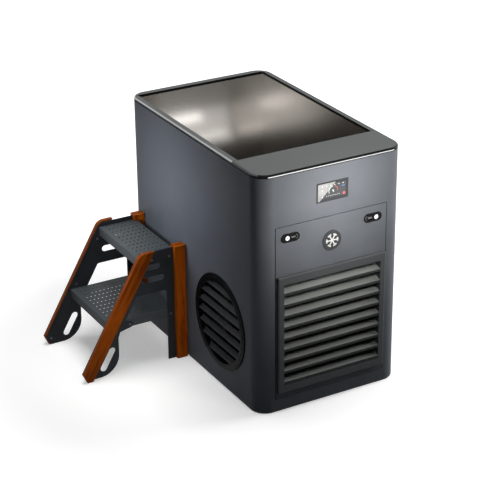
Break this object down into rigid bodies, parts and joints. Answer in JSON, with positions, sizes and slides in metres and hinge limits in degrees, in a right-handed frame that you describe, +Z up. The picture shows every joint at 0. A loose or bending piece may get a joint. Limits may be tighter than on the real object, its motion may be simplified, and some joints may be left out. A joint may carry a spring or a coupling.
{
  "type": "cold plunge tub",
  "caption": "Upright chilled plunge tub with a stepped steel basin, louvred service door, round side vent and a wooden-railed step stool.",
  "frame": {"origin": "centre of the tub's footprint on the floor", "axes": "+X to the right along the front face, the front faces -Y, +Z up"},
  "size_m": [1.1915, 1.132, 1.05],
  "materials": {
    "casing_paint": "satin powder coat",
    "rim_paint": "fine textured powder coat",
    "louvre_paint": "satin powder coat",
    "basin_steel": "brushed",
    "seal_rubber": "matte",
    "black_plastic": "matte",
    "gloss_black": "gloss",
    "display_screen": "gloss",
    "lock_metal": "polished",
    "foam": "matte",
    "frame_paint": "satin",
    "fin_metal": "satin",
    "copper": "satin",
    "lever_red": "matte",
    "filter_blue": "gloss",
    "stool_paint": "satin powder coat",
    "tread_paint": "satin powder coat",
    "stool_wood": "varnished"
  },
  "bodies": {
    "tub": {"casing_front": "casing_paint", "casing_left": "casing_paint", "casing_right": "casing_paint", "casing_back": "casing_paint", "front_deck": "rim_paint", "rim_left": "rim_paint", "rim_right": "rim_paint", "rim_back": "rim_paint", "basin_front_wall": "basin_steel", "basin_seat": "basin_steel", "basin_riser": "basin_steel", "basin_floor": "basin_steel", "basin_back_wall": "basin_steel", "basin_left_wall": "basin_steel", "basin_right_wall": "basin_steel", "basin_fittings": "basin_steel", "heat_exchanger": "basin_steel", "rim_seal": "seal_rubber", "water_hoses": "seal_rubber", "display_bezel": "black_plastic", "display_housing": "black_plastic", "fan_shroud": "black_plastic", "filter_head": "black_plastic", "power_inlet": "black_plastic", "control_box": "black_plastic", "vent_ring": "gloss_black", "vent_blades": "gloss_black", "display_glass": "display_screen", "hinge_pins": "lock_metal", "insulation_boards": "foam", "base_pan": "frame_paint", "inner_frame": "frame_paint", "compressor": "frame_paint", "fan_motor": "frame_paint", "circulation_pump": "frame_paint", "condenser_core": "fin_metal", "refrigerant_lines": "copper", "drain_valve": "copper", "filter_bowl": "filter_blue"},
    "service_door": {"service_door": "casing_paint", "door_gasket": "seal_rubber", "grille_frame": "casing_paint", "grille_louvres": "louvre_paint", "door_badge": "gloss_black", "latch_housing_left": "black_plastic", "latch_housing_right": "black_plastic"},
    "latch_lock_left": {"latch_lock_left": "lock_metal"},
    "latch_lock_right": {"latch_lock_right": "lock_metal"},
    "fan_rotor": {"fan_rotor": "black_plastic"},
    "drain_lever": {"drain_lever": "lever_red"},
    "step_stool": {"step_bolts": "lock_metal", "step_side_near": "stool_paint", "step_side_far": "stool_paint", "step_tread_upper": "tread_paint", "step_tread_lower": "tread_paint", "step_rail_near": "stool_wood", "step_rail_far": "stool_wood", "step_post_near": "stool_wood", "step_post_far": "stool_wood"}
  },
  "joints": [
    {"name": "door_tilt", "type": "hinge", "parent": "tub", "child": "service_door", "pos_m": [0, -0.5495, 0.085], "axis": [1, 0, 0], "range_deg": [0, 70]},
    {"name": "lock_left_turn", "type": "hinge", "parent": "service_door", "child": "latch_lock_left", "pos_m": [-0.2075, -0.5495, 0.77], "axis": [0, 1, 0], "range_deg": [0, 90]},
    {"name": "lock_right_turn", "type": "hinge", "parent": "service_door", "child": "latch_lock_right", "pos_m": [0.2075, -0.5495, 0.77], "axis": [0, -1, 0], "range_deg": [0, 90]},
    {"name": "fan_spin", "type": "hinge", "parent": "tub", "child": "fan_rotor", "pos_m": [-0.296, -0.242, 0.296], "axis": [1, 0, 0], "continuous": true},
    {"name": "drain_lever_turn", "type": "hinge", "parent": "tub", "child": "drain_lever", "pos_m": [0.265, -0.355, 0.18], "axis": [0, 0, -1], "range_deg": [0, 90]},
    {"name": "stool_shift", "type": "slide", "parent": "tub", "child": "step_stool", "axis": [-1, 0, 0], "range_m": [0, 0.35]}
  ]
}
